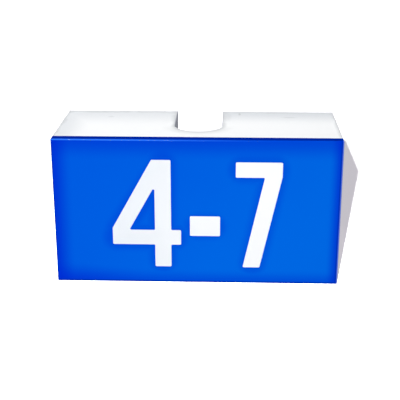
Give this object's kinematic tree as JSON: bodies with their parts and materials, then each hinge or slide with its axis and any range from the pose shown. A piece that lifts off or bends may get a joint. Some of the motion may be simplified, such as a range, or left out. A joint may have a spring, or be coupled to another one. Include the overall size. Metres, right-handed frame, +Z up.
{
  "type": "cable marker plate",
  "caption": "Upright marker: a blue face plate on a thick white block, with a round-ended channel through the back for a cable or post.",
  "frame": {"origin": "centre of the base: the middle of the width and of the depth, at the bottom", "axes": "+X to the right seen from the front, +Y from the blue face to the open back, +Z up along the cable channel"},
  "size_m": [0.15, 0.06, 0.0795],
  "materials": {
    "backing_block": "white, fine matt cut surface",
    "face_plate": "blue, smooth, with a soft shine",
    "marking": "white, thin smooth film"
  },
  "bodies": {
    "root": {"backing_block": "backing_block", "face_plate": "face_plate"}
  },
  "joints": []
}
